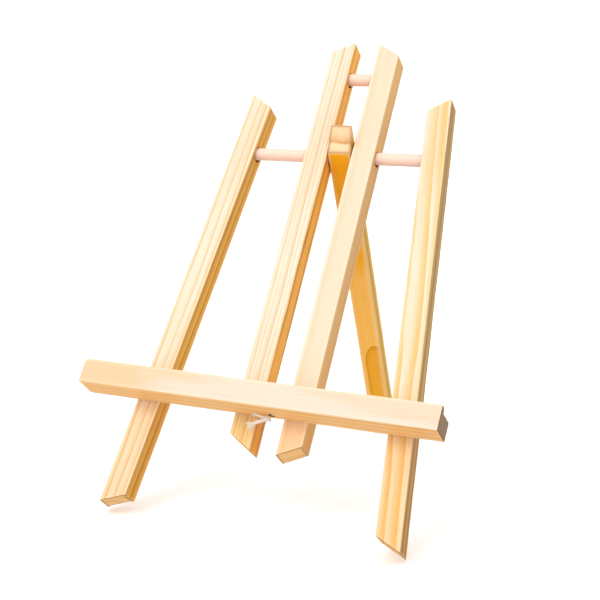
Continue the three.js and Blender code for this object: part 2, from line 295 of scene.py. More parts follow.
class Nodes:
    def __init__(self, name):
        self.material = bpy.data.materials.new(name)
        self.material.use_nodes = True
        self.tree = self.material.node_tree
        self.tree.nodes.clear()
        self.output = self.add("OutputMaterial")
        self.shader = self.add("BsdfPrincipled")
        self.link(self.shader.outputs[0], self.output.inputs[0])

    def add(self, kind, **settings):
        node = self.tree.nodes.new("ShaderNode" + kind)
        for key, value in settings.items():
            setattr(node, key, value)
        return node

    def link(self, source, target):
        self.tree.links.new(source, target)

    def put(self, socket, value):
        if isinstance(value, bpy.types.NodeSocket):
            self.link(value, socket)
        else:
            socket.default_value = value

    def math(self, operation, *values):
        node = self.add("Math", operation=operation)
        for socket, value in zip(node.inputs, values):
            self.put(socket, value)
        return node.outputs[0]

    def vector(self, operation, *values):
        node = self.add("VectorMath", operation=operation)
        for socket, value in zip(node.inputs, values):
            self.put(socket, value)
        return node.outputs[0]

    def mixColour(self, share, first, second, blend="MIX"):
        node = self.add("Mix", data_type="RGBA", blend_type=blend)
        self.put(node.inputs[0], share)
        self.put(node.inputs[6], first if isinstance(first, bpy.types.NodeSocket) else (*first, 1))
        self.put(node.inputs[7], second if isinstance(second, bpy.types.NodeSocket) else (*second, 1))
        return node.outputs[2]

    def noise(self, vector, scale=1.0, detail=2.0, roughness=0.5):
        node = self.add("TexNoise")
        self.put(node.inputs["Vector"], vector)
        node.inputs["Scale"].default_value = scale
        node.inputs["Detail"].default_value = detail
        node.inputs["Roughness"].default_value = roughness
        return node.outputs[0]

    def ramp(self, value, stops):
        node = self.add("ValToRGB")
        ramp = node.color_ramp
        while len(ramp.elements) < len(stops):
            ramp.elements.new(0.5)
        for element, (position, grey) in zip(ramp.elements, stops):
            element.position, element.color = position, (grey, grey, grey, 1)
        self.put(node.inputs[0], value)
        return node.outputs[0]

    def attribute(self, name):
        return self.add("Attribute", attribute_name=name).outputs["Fac"]

    def bump(self, height, strength, distance):
        node = self.add("Bump")
        node.inputs["Strength"].default_value = strength
        node.inputs["Distance"].default_value = distance
        self.put(node.inputs["Height"], height)
        self.link(node.outputs[0], self.shader.inputs["Normal"])

    def spread(self, value):
        # one value on all three of a vector's parts
        node = self.add("CombineXYZ")
        for socket in node.inputs:
            self.put(socket, value)
        return node.outputs[0]

    def ownPlace(self, axes, place):
        # object coordinates in millimetres from the place, along the piece's own axes
        coordinates = self.add("TexCoord").outputs["Object"]
        mapping = self.add("Mapping")
        mapping.inputs["Scale"].default_value = (1 / mm,) * 3
        mapping.inputs["Rotation"].default_value = Matrix(axes).to_euler("XYZ")
        mapping.inputs["Location"].default_value = -(axes @ place) / mm
        self.put(mapping.inputs["Vector"], coordinates)
        return mapping.outputs[0]


def linear(red, green, blue):
    # a colour as it is seen on a screen, 0 to 255, as the light that a shader works in
    share = np.array([red, green, blue]) / 255
    return tuple(np.where(share < 0.04045, share / 12.92, ((share + 0.055) / 1.055) ** 2.4))


# pine

pineLook = {
    "front": (236, 216, 192),  # earlywood on the faces planed along the rings
    "blush": (236, 206, 176),  # the same where the tone drifts; on the rear leg it is painted shade
    # the side faces' darker, more orange colour: partly their own grain, partly painted shade
    "side": (226, 166, 92),
    "end": (252, 214, 160),  # the sawn ends
    "line": (222, 176, 122),  # latewood on the front and back
    "sideLine": (172, 112, 44),
    "endLine": (206, 150, 86),
    "foot": (1.0, 0.9, 0.72),  # painted shade below the ledge: the share of each colour kept there
    "footStart": -165.0,  # millimetres up the piece from the axle, where the painted shade below the ledge begins
    "pith": (-3.0, 26.0),  # millimetres from the piece's middle to the rings' centre, across and back
    "tilt": 0.0,  # how fast the centre leaves, going up
    "ringWidth": 2.6,
    "shift": 0.0,  # from the centre to the first ring's edge
    "narrow": 3.0,  # the higher, the thinner the latewood
    "strength": 0.8,
    "uneven": 2.0,  # how much the years' growth differs
    "wander": 0.7,  # how far the rings stray from true circles
    "driftLean": 0.0,  # makes the blush stronger going up from the start; on the rear leg that blush is painted shade
    "driftStart": 0.0,
    "arch": None,  # a darker flame on the front: its middle, apex, half width, rounded length, colours
    "hole": (112, 54, 10),  # painted shade on the drilled walls, so the gaps round dowels, pins and string read dark
    # lighter corners: partly real wear, partly a painted highlight along the edges
    "worn": (250, 230, 196),
    # dark rims round the sawn ends: partly end grain, partly painted shade
    "endEdge": (150, 96, 44),
    "bump": 0.3,
}


def pine(name, axes, place, **changes):
    # Growth rings: the distance from a pith line that leans, strayed by slow noise. Over one
    # ring's width the latewood rises as a power of the share gone by and then drops at once. Fibres
    # are noise drawn out along the grain, and canals are its rare high spots.
    look = {**pineLook, **changes}
    n = Nodes(name)
    spot = n.ownPlace(axes, place)
    parts = n.add("SeparateXYZ")
    n.put(parts.inputs[0], spot)
    across, back, up = parts.outputs
    side, end, edge = n.attribute("sideFace"), n.attribute("endFace"), n.attribute("edgeWear")

    leaning = n.math("MULTIPLY", up, look["tilt"])
    fromPith = n.math("ADD", n.math("SUBTRACT", look["pith"][1], back), leaning)
    beside = n.math("SUBTRACT", across, look["pith"][0])
    stray = n.math("SUBTRACT", n.noise(n.vector("MULTIPLY", spot, (0.09, 0.09, 0.009)), 1, 2), 0.5)
    jitter = n.math("SUBTRACT", n.noise(n.vector("MULTIPLY", spot, (0.5, 0.5, 0.03)), 1, 2), 0.5)
    square = n.math("MULTIPLY_ADD", fromPith, fromPith, n.math("MULTIPLY", beside, beside))
    distance = n.math("MULTIPLY_ADD", stray, 4 * look["wander"], n.math("SQRT", square))
    distance = n.math("MULTIPLY_ADD", jitter, 0.5 * look["wander"], distance)
    years = n.noise(n.spread(n.math("DIVIDE", distance, 2.2 * look["ringWidth"])), 1, 1)
    unequal = look["uneven"] * look["ringWidth"]
    distance = n.math("MULTIPLY_ADD", n.math("SUBTRACT", years, 0.5), unequal, distance)
    rings = n.math("DIVIDE", n.math("SUBTRACT", distance, look["shift"]), look["ringWidth"])
    phase = n.math("FRACT", rings)
    grown = n.ramp(phase, [(0.0, 0.0), (0.92, 1.0), (0.98, 0.85), (1.0, 0.0)])
    eachRing = n.noise(n.vector("MULTIPLY", spot, (0.35, 0.35, 0.004)), 1, 1)
    late = n.math("MULTIPLY", n.math("POWER", grown, look["narrow"]), n.math("ADD", eachRing, 0.5))
    late = n.math("MULTIPLY", late, look["strength"])

    fibre = n.noise(n.vector("MULTIPLY", spot, (3.2, 3.2, 0.05)), 1, 4, 0.6)
    fine = n.noise(n.vector("MULTIPLY", spot, (9.0, 9.0, 0.35)), 1, 2, 0.6)
    cloud = n.noise(n.vector("MULTIPLY", spot, (0.06, 0.06, 0.012)), 1, 3, 0.5)
    canal = n.noise(n.vector("MULTIPLY", spot, (2.6, 2.6, 0.12)), 1, 0)
    canal = n.ramp(canal, [(0.0, 0.0), (0.7, 0.0), (0.8, 1.0)])

    # the blush is random tone, and on the rear leg also painted shade rising towards its head
    drift = n.math("MULTIPLY_ADD", n.math("SUBTRACT", up, look["driftStart"]), look["driftLean"], cloud)
    drift = n.ramp(drift, [(0.38, 0.0), (0.62, 1.0)])
    face = n.mixColour(drift, linear(*look["front"]), linear(*look["blush"]))
    # the sides take their own colour, partly grain and partly painted shade
    base = n.mixColour(side, face, linear(*look["side"]))
    base = n.mixColour(end, base, linear(*look["end"]))
    dark = n.mixColour(side, linear(*look["line"]), linear(*look["sideLine"]))
    dark = n.mixColour(end, dark, linear(*look["endLine"]))
    colour = n.mixColour(late, base, dark)
    if look["arch"]:
        front = n.math("MULTIPLY", n.math("LESS_THAN", back, 0.0), n.math("SUBTRACT", 1.0, side))
        colour = flame(n, look["arch"], across, up, stray, front, colour)
    colour = n.mixColour(n.math("MULTIPLY", canal, 0.2), colour, linear(*look["sideLine"]))
    # painted shade below the ledge: going down past the start the colours darken and turn more orange,
    # standing in for the ledge's shadow
    below = n.add("MapRange", interpolation_type="SMOOTHSTEP")
    n.put(below.inputs["Value"], up)
    below.inputs["From Min"].default_value = look["footStart"] + 5
    below.inputs["From Max"].default_value = look["footStart"] - 25
    colour = n.mixColour(below.outputs[0], colour, n.mixColour(1.0, colour, look["foot"], "MULTIPLY"))
    tone = n.math("MULTIPLY_ADD", n.math("SUBTRACT", fibre, 0.5), 0.22, 1.0)
    tone = n.math("MULTIPLY_ADD", n.math("SUBTRACT", fine, 0.5), 0.12, tone)
    colour = n.vector("MULTIPLY", colour, n.spread(tone))
    # the corners lighten: partly real wear, partly a painted highlight
    worn = n.math("MULTIPLY", edge, n.math("MULTIPLY_ADD", fibre, 0.6, -0.05))
    worn = n.math("MULTIPLY", worn, n.math("SUBTRACT", 1.0, end))
    colour = n.mixColour(worn, colour, linear(*look["worn"]))
    # the sawn ends darken at their rims: partly end grain, partly painted shade
    endEdge = n.math("MULTIPLY", n.math("MULTIPLY", edge, end), n.math("MULTIPLY_ADD", fine, 0.6, 0.3))
    colour = n.mixColour(endEdge, colour, linear(*look["endEdge"]))
    # painted shade in the holes: the bored walls are darkened
    colour = n.mixColour(n.math("MULTIPLY", n.attribute("bored"), 0.85), colour, linear(*look["hole"]))
    n.put(n.shader.inputs["Base Color"], colour)

    rough = n.math("MULTIPLY_ADD", fibre, 0.22, 0.46)
    rough = n.math("MULTIPLY_ADD", late, -0.1, rough)
    n.put(n.shader.inputs["Roughness"], n.math("MULTIPLY_ADD", end, 0.2, rough))
    n.shader.inputs["Specular IOR Level"].default_value = 0.18
    sawMarks = n.math("SINE", n.math("MULTIPLY", n.math("MULTIPLY_ADD", fine, 0.8, back), 4.2))
    height = n.math("MULTIPLY_ADD", late, 0.5, n.math("MULTIPLY", fibre, 0.4))
    height = n.math("MULTIPLY_ADD", fine, 0.25, height)
    height = n.math("MULTIPLY_ADD", n.math("MULTIPLY", sawMarks, end), 0.4, height)
    n.bump(height, look["bump"], 0.25 * mm)
    return n.material


def flame(n, arch, across, up, stray, front, colour):
    # Inside a half ellipse that goes on down as a band: the sum of squares of the two distances, each
    # as a share of the ellipse's reach. It has a darker rim.
    offset = n.math("DIVIDE", n.math("SUBTRACT", across, arch["across"]), arch["halfWidth"])
    rise = n.math("SUBTRACT", up, arch["apex"] - arch["cap"])
    rise = n.math("MAXIMUM", n.math("DIVIDE", rise, arch["cap"]), 0.0)
    reach = n.math("MULTIPLY_ADD", offset, offset, n.math("MULTIPLY", rise, rise))
    reach = n.math("MULTIPLY_ADD", stray, 0.5, reach)
    inside = n.ramp(reach, [(0.0, 0.72), (0.55, 0.85), (0.9, 1.0), (0.99, 1.0), (1.0, 0.0)])
    rim = n.ramp(reach, [(0.6, 0.0), (0.97, 0.5), (1.0, 0.0)])
    colour = n.mixColour(n.math("MULTIPLY", inside, front), colour, linear(*arch["colour"]))
    return n.mixColour(n.math("MULTIPLY", rim, front), colour, linear(*arch["rim"]))


# string

stringFacts = {
    "diameter": 1.6 * mm,
    "holeRadius": 1.6 * mm,  # of the holes that it runs through
    "strands": 3,
    "pitch": 5.2 * mm,
    "tightness": 0.24,  # how deep the grooves between strands are, as a share of the radius
    "colour": (246, 240, 232),
    # painted shade in the grooves between the strands
    "hollow": (196, 176, 160),
}
# the corners of its route: the ledge's two mouths, then the rear leg's
stringCorners = np.array(
    [(9.991, -87.42, 63.23), (9.991, -81.609, 63.901), (5.886, 104.458, 18.469), (5.667, 114.567, 22.8)]
) * mm


def easedPath(corners, ease, step):
    # straight runs, each inner corner a parabola that starts and ends an ease away from it
    toNext = corners[1:] - corners[:-1]
    toNext = toNext / np.linalg.norm(toNext, axis=1)[:, None]
    t = np.linspace(0, 1, 9)[:, None]
    path, start = [], corners[0]
    for i in range(1, len(corners) - 1):
        before, after = corners[i] - ease * toNext[i - 1], corners[i] + ease * toNext[i]
        s = np.linspace(0, 1, max(2, int(np.linalg.norm(before - start) / step)))[:-1, None]
        path.append(start * (1 - s) + before * s)
        path.append(((1 - t) ** 2 * before + 2 * t * (1 - t) * corners[i] + t**2 * after)[:-1])
        start = after
    s = np.linspace(0, 1, max(2, int(np.linalg.norm(corners[-1] - start) / step)))[:, None]
    path.append(start * (1 - s) + corners[-1] * s)
    return np.concatenate(path)


def evenly(path, step):
    # the same line with points an even step apart
    arc = np.concatenate([[0], np.cumsum(np.linalg.norm(np.diff(path, axis=0), axis=1))])
    places = np.linspace(0, arc[-1], max(4, int(arc[-1] / step)))
    return np.stack([np.interp(places, arc, path[:, k]) for k in range(3)], 1)


def twistedRings(path, radius, lookUp, sides=20, closed=False):
    # A rope round the path: at each point a ring whose radius swells over every strand, and the
    # strands turn once round in a pitch. lookUp is a direction, or one for each point, not along the path.
    tangent = np.roll(path, -1, 0) - np.roll(path, 1, 0) if closed else np.gradient(path, axis=0)
    tangent /= np.linalg.norm(tangent, axis=1)[:, None]
    side = np.cross(tangent, lookUp)
    side /= np.linalg.norm(side, axis=1)[:, None]
    over = np.cross(side, tangent)
    arc = np.concatenate([[0], np.cumsum(np.linalg.norm(np.diff(path, axis=0), axis=1))])
    angle = np.linspace(0, 2 * np.pi, sides, endpoint=False)[None]
    turn = 2 * np.pi * arc[:, None] / stringFacts["pitch"]
    lobe = np.abs(np.cos(stringFacts["strands"] / 2 * (angle - turn)))
    size = radius * (1 - stringFacts["tightness"] * (1 - lobe))
    rings = path[:, None] + size[..., None] * (
        np.cos(angle)[..., None] * side[:, None] + np.sin(angle)[..., None] * over[:, None]
    )
    return rings, 1 - lobe


def cottonMaterial():
    n = Nodes("cotton string")
    place = n.vector("MULTIPLY", n.add("TexCoord").outputs["Object"], (1 / mm,) * 3)
    groove = n.attribute("groove")
    lint = n.noise(place, 3.5, 4, 0.7)
    hair = n.noise(n.vector("MULTIPLY", place, (6, 1.2, 6)), 1, 3, 0.7)
    # painted shade: the grooves between the strands take a darker colour
    colour = n.mixColour(groove, linear(*stringFacts["colour"]), linear(*stringFacts["hollow"]))
    colour = n.mixColour(n.math("MULTIPLY", lint, 0.25), colour, linear(222, 206, 190))
    n.put(n.shader.inputs["Base Color"], colour)
    n.put(n.shader.inputs["Roughness"], n.math("ADD", 0.8, n.math("MULTIPLY", lint, 0.15)))
    n.shader.inputs["Sheen Weight"].default_value = 0.4
    n.shader.inputs["Specular IOR Level"].default_value = 0.15
    n.bump(n.math("ADD", hair, lint), 0.6, 0.12 * mm)
    return n.material


cotton = cottonMaterial()


def makeString():
    path = evenly(easedPath(stringCorners, 2 * stringFacts["diameter"], 0.4 * mm), 0.42 * mm)
    rings, groove = twistedRings(path, stringFacts["diameter"] / 2, np.array([1.0, 0, 0.1]))
    piece = addMesh("checkString", rings, values={"groove": groove})
    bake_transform(piece)
    finishPiece(piece, None, cotton, "cotton_string", "check_string")
    return piece, path


def fibres(name, start, direction, length, count, spread, droop, seed):
    # A frayed end: yarns that leave the rope's end and part. Each is a thin tube whose line adds to the
    # rope's own direction a sideways lean, a droop and a curl, all growing as the square of its length.
    rng = np.random.default_rng(seed)
    direction = np.array(direction) / np.linalg.norm(direction)
    side = np.cross(direction, [0, 0, 1.0])
    side /= np.linalg.norm(side)
    over = np.cross(side, direction)
    rows, sides = 12, 6
    t = np.linspace(0, 1, rows)
    angle = np.linspace(0, 2 * np.pi, sides, endpoint=False)
    points, quads, start = [], [], np.array(start)
    grid = np.arange(rows - 1)[:, None] * sides + np.arange(sides)[None]
    after = np.arange(rows - 1)[:, None] * sides + (np.arange(sides)[None] + 1) % sides
    strip = np.stack([grid, after, after + sides, grid + sides], -1).reshape(-1, 4)
    for i in range(count):
        lean = rng.normal(0, spread, 2)
        reach = length * rng.uniform(0.6, 1.0)
        seat = rng.normal(0, 0.25 * mm, 2)
        line = start + seat[0] * side + seat[1] * over + direction * reach * t[:, None]
        bend = t[:, None] ** 2
        line = line + bend * (lean[0] * side + lean[1] * over) - bend * [0, 0, droop]
        curl = 0.25 * mm * np.sin(9 * t[:, None] + rng.uniform(0, 6.28))
        line = line + curl * bend * side
        thick = 0.2 * mm * (1 - 0.55 * t)[:, None, None]
        ring = np.cos(angle)[None, :, None] * side + np.sin(angle)[None, :, None] * over
        points.append((line[:, None] + thick * ring).reshape(-1, 3))
        quads.append(strip + i * rows * sides)
    mesh = bpy.data.meshes.new(name)
    firsts = [i * rows * sides for i in range(count)]
    caps = [list(range(first, first + sides))[::-1] for first in firsts]
    caps += [list(range(first + (rows - 1) * sides, first + rows * sides)) for first in firsts]
    mesh.from_pydata(np.concatenate(points).tolist(), [], np.concatenate(quads).tolist() + caps)
    mesh.polygons.foreach_set("use_smooth", [True] * len(mesh.polygons))
    mesh.attributes.new("groove", "FLOAT", "POINT")
    piece = bpy.data.objects.new(name, mesh)
    bpy.context.scene.collection.objects.link(piece)
    return piece


ledgeDown = -ledgeAxes[2]
knotFacts = {
    "size": 0.54 * mm,
    "rope": 0.78 * mm,  # the knotted rope's radius
    "frayShare": 0.5,  # of a tail's length
    "frontPlace": np.array([8.4, -88.068, 63.131]) * mm,  # on the ledge's underside, beside the hole
    "frontDrop": 2.4 * mm,  # from there to the knot's middle
    "rearDrop": 2.5 * mm,  # from the hole's rear mouth to the knot's middle
}
frontTails = [
    {"direction": (-0.9, -0.12, -0.42), "axes": ledgeAxes, "length": 13 * mm, "sag": 9, "rope": 1.2 * mm,
     "yarns": 44, "spread": 1.6 * mm},
    {"direction": (-0.95, -0.18, 0.15), "axes": ledgeAxes, "length": 10.5 * mm, "sag": 0, "rope": 0.9 * mm,
     "yarns": 14, "spread": 0.6 * mm},
]
rearTails = [
    {"direction": (0.3, 0.5, -0.8), "axes": legAxes, "length": 8 * mm, "sag": 12, "rope": 0.8 * mm,
     "yarns": 22, "spread": 1.2 * mm},
]


def makeKnot(name, node, body, middle, axis, tails, seed):
    # An overhand knot drawn up tight: a trefoil line about the axis, with the rope's rings round it,
    # then short tails that bow down a little and fray.
    axis = np.array(axis, float)
    first = np.cross(axis, [0.2, 0.9, 0.4])
    first /= np.linalg.norm(first)
    second = np.cross(axis, first)
    t = np.linspace(0, 2 * np.pi, 90, endpoint=False)[:, None]
    line = (np.sin(t) + 2 * np.sin(2 * t)) * first + (np.cos(t) - 2 * np.cos(2 * t)) * second
    line = middle + knotFacts["size"] * (line - 1.4 * np.sin(3 * t) * axis)
    rings, groove = twistedRings(line, knotFacts["rope"], line - middle + 0.3 * mm * axis, 16, closed=True)
    knot = addMesh(name, rings, capped=False, closed=True, values={"groove": groove})
    joined = [knot]
    for k, tail in enumerate(tails):
        direction = np.array(tail["direction"], float) @ tail["axes"]
        direction /= np.linalg.norm(direction)
        run = np.linspace(0, tail["length"] * (1 - knotFacts["frayShare"]), 26)[:, None]
        tailLine = middle + direction * (run + 0.8 * mm) - np.array([0, 0, tail["sag"]]) * run**2
        tailRings, tailGroove = twistedRings(tailLine, tail["rope"], np.array([0.1, 0.3, 1.0]), 16)
        joined.append(addMesh(f"{name}Tail{k}", tailRings, values={"groove": tailGroove}))
        joined.append(fibres(
            f"{name}Fray{k}", tailLine[-4], tailLine[-1] - tailLine[-3],
            tail["length"] * knotFacts["frayShare"], tail["yarns"], tail["spread"], 0.6 * mm, seed + k,
        ))
    with bpy.context.temp_override(active_object=knot, selected_editable_objects=joined):
        bpy.ops.object.join()
    return finishPiece(knot, body, cotton, "cotton_string", node)


frontKnot = makeKnot(
    "frontKnot", "front_knot", "front_frame",
    knotFacts["frontPlace"] + knotFacts["frontDrop"] * ledgeDown, ledgeDown, frontTails, 5,
)
rearKnot = makeKnot(
    "rearKnot", "rear_knot", "swinging_leg",
    stringCorners[3] + knotFacts["rearDrop"] * legAxes[1], legAxes[1], rearTails, 8,
)
checkString, stringPath = makeString()

# dowels

dowelFacts = {
    "radius": 4 * mm,
    "holeRadius": 4.9 * mm,
    "holeDrop": 0.5 * mm,  # the holes sit a little low, so the gap opens under the dowels
    "legHoleRadius": 4.3 * mm,
    "topHeight": 58.5 * mm,
    "uneven": 0.05 * mm,
}


def birch(name):
    # fine straight fibres round a pale, slightly pink rod
    n = Nodes(name)
    spot = n.ownPlace(slatAxes, hingePlace)
    fibre = n.noise(n.vector("MULTIPLY", spot, (0.05, 3.0, 3.0)), 1, 4, 0.6)
    fleck = n.ramp(
        n.noise(n.vector("MULTIPLY", spot, (0.25, 2.4, 2.4)), 1, 1), [(0.0, 0), (0.62, 0), (0.72, 1)]
    )
    cloud = n.noise(n.vector("MULTIPLY", spot, (0.03, 0.2, 0.2)), 1, 2)
    colour = n.mixColour(fibre, linear(250, 220, 206), linear(238, 196, 172))
    colour = n.mixColour(n.math("MULTIPLY", fleck, 0.3), colour, linear(206, 150, 112))
    colour = n.mixColour(n.math("MULTIPLY", cloud, 0.4), colour, linear(246, 206, 176))
    n.put(n.shader.inputs["Base Color"], colour)
    n.put(n.shader.inputs["Roughness"], n.math("ADD", 0.42, n.math("MULTIPLY", fibre, 0.2)))
    n.bump(fibre, 0.2, 0.15 * mm)
    return n.material


dowelWood = birch("birch dowel")


def makeDowel(name, node, height, seed):
    reach = outlinePoints(node, slatAxes)[:, 0]
    lift = hingePlace + height * slatAxes[2]
    start, end = lift + reach.min() * slatAxes[0], lift + reach.max() * slatAxes[0]
    piece = rod(
        name, start, end, dowelFacts["radius"], 64, 0.5 * mm, 3 * mm, dowelFacts["uneven"], seed
    )
    piece.data.set_sharp_from_angle(angle=math.radians(35))
    return finishPiece(piece, "front_frame", dowelWood, "birch_dowel", node)


makeDowel("pivotDowel", "pivot_dowel", 0, 3)
makeDowel("topDowel", "top_dowel", dowelFacts["topHeight"], 4)
print("dowels made")

# pins

pinFacts = {
    "headRadius": 1.6 * mm,
    "shankRadius": 0.8 * mm,
    "headThickness": 1.0 * mm,
    "domeHeight": 0.35 * mm,
    "pointLength": 2 * mm,
    "holeRadius": 1.9 * mm,  # of the sinking that the head sits in
    "holeDepth": 1.3 * mm,
}


def steelMaterial():
    n = Nodes("pin steel")
    place = n.vector("MULTIPLY", n.add("TexCoord").outputs["Object"], (1 / mm,) * 3)
    scuff = n.noise(place, 4.0, 4, 0.65)
    colour = n.mixColour(scuff, (0.62, 0.62, 0.63), (0.4, 0.39, 0.38))
    n.put(n.shader.inputs["Base Color"], colour)
    n.shader.inputs["Metallic"].default_value = 1.0
    n.put(n.shader.inputs["Roughness"], n.math("ADD", 0.25, n.math("MULTIPLY", scuff, 0.3)))
    n.bump(scuff, 0.3, 0.05 * mm)
    return n.material


steel = steelMaterial()


def pinLine(node):
    # where a pin's head is flush, and its length
    points = outlinePoints(node, ledgeAxes)
    middle = (points.min(0) + points.max(0)) / 2
    middle[1] = points[:, 1].max()
    return hingePlace + middle @ ledgeAxes, points[:, 1].max() - points[:, 1].min()


def makePin(node):
    # one profile turned round the pin's line: a point, the shank, then a head with a soft dome
    top, length = pinLine(node)
    head, shank = pinFacts["headRadius"], pinFacts["shankRadius"]
    dome = np.linspace(0, np.pi / 2, 8)
    under, hair = pinFacts["headThickness"], 0.05 * mm
    depth = np.concatenate(
        [[length, length - pinFacts["pointLength"], under, under - hair],
         pinFacts["domeHeight"] * (1 - np.sin(dome))]
    )
    radius = np.concatenate([[hair, shank, shank, head], head * np.cos(dome) + 0.02 * mm])
    radius = np.minimum(radius, head)
    angle = np.linspace(0, 2 * np.pi, 28, endpoint=False)
    circle = np.cos(angle)[:, None] * ledgeAxes[0] + np.sin(angle)[:, None] * ledgeAxes[2]
    rings = top - depth[:, None, None] * ledgeAxes[1] + radius[:, None, None] * circle[None]
    name = node.replace("_pin", "Pin").replace("_", "")
    piece = addMesh(name, rings)
    piece.data.set_sharp_from_angle(angle=math.radians(40))
    return finishPiece(piece, "front_frame", steel, "pin_steel", node)


pinNodes = [node for node in frame["nodes"] if node.endswith("_pin")]
for node in pinNodes:
    makePin(node)
print("pins made:", len(pinNodes))

# slats, and the surface that the rear leg shares with them

slatFacts = {
    "edgeRadius": 0.75 * mm,
    "endRadius": 0.45 * mm,
    "step": 1.5 * mm,
    "waviness": 0.07 * mm,
    "wear": 0.3 * mm,  # how much further a corner may be worn down
    "heel": {"left_outer_leg": 1.3 * mm, "right_outer_leg": 0.2 * mm},  # rise of the foot's back edge
    "heelReach": 2 * mm,
}
slatLooks = {
    "left_outer_leg": {
        "side": (224, 168, 68), "sideLine": (150, 100, 10), "line": (208, 168, 106),
        "pith": (-34.0, 26.0), "ringWidth": 3.9, "shift": 1.2, "narrow": 6.0, "strength": 1.0,
        "tilt": 0.004, "foot": (0.97, 0.86, 0.7),
    },
    "left_inner_upright": {
        "side": (244, 184, 76), "sideLine": (160, 100, 20), "line": (190, 156, 100),
        "pith": (-44.0, 14.0), "ringWidth": 2.5, "narrow": 8.0, "strength": 1.0,
        "tilt": 0.002, "foot": (0.94, 0.76, 0.42), "uneven": 2.6,
    },
    "right_inner_upright": {
        "front": (237, 208, 182), "blush": (237, 210, 184),
        "side": (221, 173, 109), "sideLine": (176, 124, 70),
        "pith": (4.0, -30.0), "ringWidth": 6.5, "shift": 2.6, "narrow": 3.0, "strength": 0.35,
        "foot": (1.0, 0.86, 0.66),
    },
    "right_outer_leg": {
        "side": (190, 148, 62), "sideLine": (134, 92, 24), "line": (226, 184, 116),
        "pith": (-30.0, 34.0), "ringWidth": 4.2, "shift": 1.0, "narrow": 1.8, "strength": 1.15,
        "tilt": 0.012, "foot": (0.97, 0.83, 0.62), "wander": 1.0,
    },
}


def barSurface(name, node, axes, seed, shape=None):
    # The rounded rectangle of the section carried up the bar. Each of its points starts on the lower
    # cut and ends on the upper one: planes given by the heights of their four corners. The rings next
    # to the cuts draw in along a quarter circle. Corners wear unevenly, and faces wave a little.
    facts = slatFacts
    points = outlinePoints(node, axes)
    low, high = points.min(0), points.max(0)
    corners = np.array([(low[0], low[1]), (high[0], low[1]), (high[0], high[1]), (low[0], high[1])])
    near = np.linalg.norm(points[:, None, :2] - corners[None], axis=2) < 0.1 * mm
    lowest = [points[near[:, k], 2].min() for k in range(4)]
    highest = [points[near[:, k], 2].max() for k in range(4)]
    loop = roundedLoop(corners, facts["edgeRadius"], facts["step"])
    nearBack = np.clip(1 - (high[1] - loop[:, 1]) / facts["heelReach"], 0, 1)
    heel = facts["heel"].get(node, 0) * nearBack**2
    endDraw, endRise = quarterTurn(facts["endRadius"])
    body = np.linspace(0, 1, int((high[2] - low[2]) / facts["step"]))[1:-1]
    share = np.concatenate([np.zeros_like(endRise), body, np.ones_like(endRise)])[:, None]
    lift = np.concatenate([endRise, facts["endRadius"] * (1 - 2 * body), -endRise[::-1]])[:, None]

    def heights(spots):
        u, v = np.moveaxis((spots - low[:2]) / (high[:2] - low[:2]), -1, 0)
        weights = (1 - u) * (1 - v), u * (1 - v), u * v, (1 - u) * v
        lowLine = heel + sum(z * w for z, w in zip(lowest, weights))
        return lowLine + share * (sum(z * w for z, w in zip(highest, weights)) - lowLine) + lift

    along = heights(loop[None])
    draw = np.concatenate([endDraw, np.zeros(len(body)), endDraw[::-1]])
    corner = cornerShare(loop, surfaceFacts["cornerReach"])
    worn = np.stack([unevenness(along[:, 0], seed + k) for k in range(4)], 1)
    nearest = np.argmin(np.linalg.norm(loop[:, None] - corners[None], axis=2), axis=1)
    inset = draw[:, None] + facts["wear"] * corner[None] * worn[:, nearest] ** 2
    face = (np.arange(len(loop)) * 4 // len(loop)) % 4
    wave = np.stack([unevenness(along[:, 0], seed + 9 + k, 5, 0.3) for k in range(4)], 1)
    inset = inset + facts["waviness"] * wave[:, face] * (1 - corner)[None]
    along = heights(loop[None] + inset[..., None] * inwardNormals(loop)[None])
    if shape:
        along = shape(along, loop, low, high)
    rings = carried(loop, inset, along, axes, hingePlace)
    endNear = np.minimum(along - along[0], along[-1] - along)
    rings, values = closedEnds(rings, {"edgeWear": edgeWear(corner, endNear)})
    return addMesh(name, rings, values=values)


def grainPlace(node, axes):
    # the middle of the piece's section, level with the axle
    points = outlinePoints(node, axes)
    middle = (points.min(0) + points.max(0)) / 2 * [1, 1, 0]
    return hingePlace + middle @ axes


def makeSlat(node, seed):
    axes = turned(slatAxes, 1, stance["outerSplay"].get(node, 0))
    name = node.replace("_", "")
    piece = barSurface(name, node, axes, seed)
    heights = {"pivot_dowel": 0.0}
    if "inner" in node:
        heights["top_dowel"] = dowelFacts["topHeight"]
    for dowel, height in heights.items():
        reach = outlinePoints(dowel, slatAxes)[:, 0]
        middle = hingePlace + (height - dowelFacts["holeDrop"]) * slatAxes[2]
        clear = dowelFacts["holeRadius"] - dowelFacts["radius"]
        ends = [middle + x * slatAxes[0] for x in (reach.min() - clear, reach.max() + clear)]
        bore(piece, ends[0], ends[1], dowelFacts["holeRadius"])
    top = pinLine(node + "_pin")[0]
    bottom = top - pinFacts["holeDepth"] * ledgeAxes[1]
    bore(piece, bottom, top + 5 * mm * ledgeAxes[1], pinFacts["holeRadius"], 28)
    markFaces(piece, axes)
    material = pine(node.replace("_", " ") + " pine", axes, grainPlace(node, axes), **slatLooks[node])
    return finishPiece(piece, "front_frame", material, "slat_pine", node)


for seed, node in enumerate(slatLooks):
    makeSlat(node, 20 + 30 * seed)
print("slats made")

# ledge

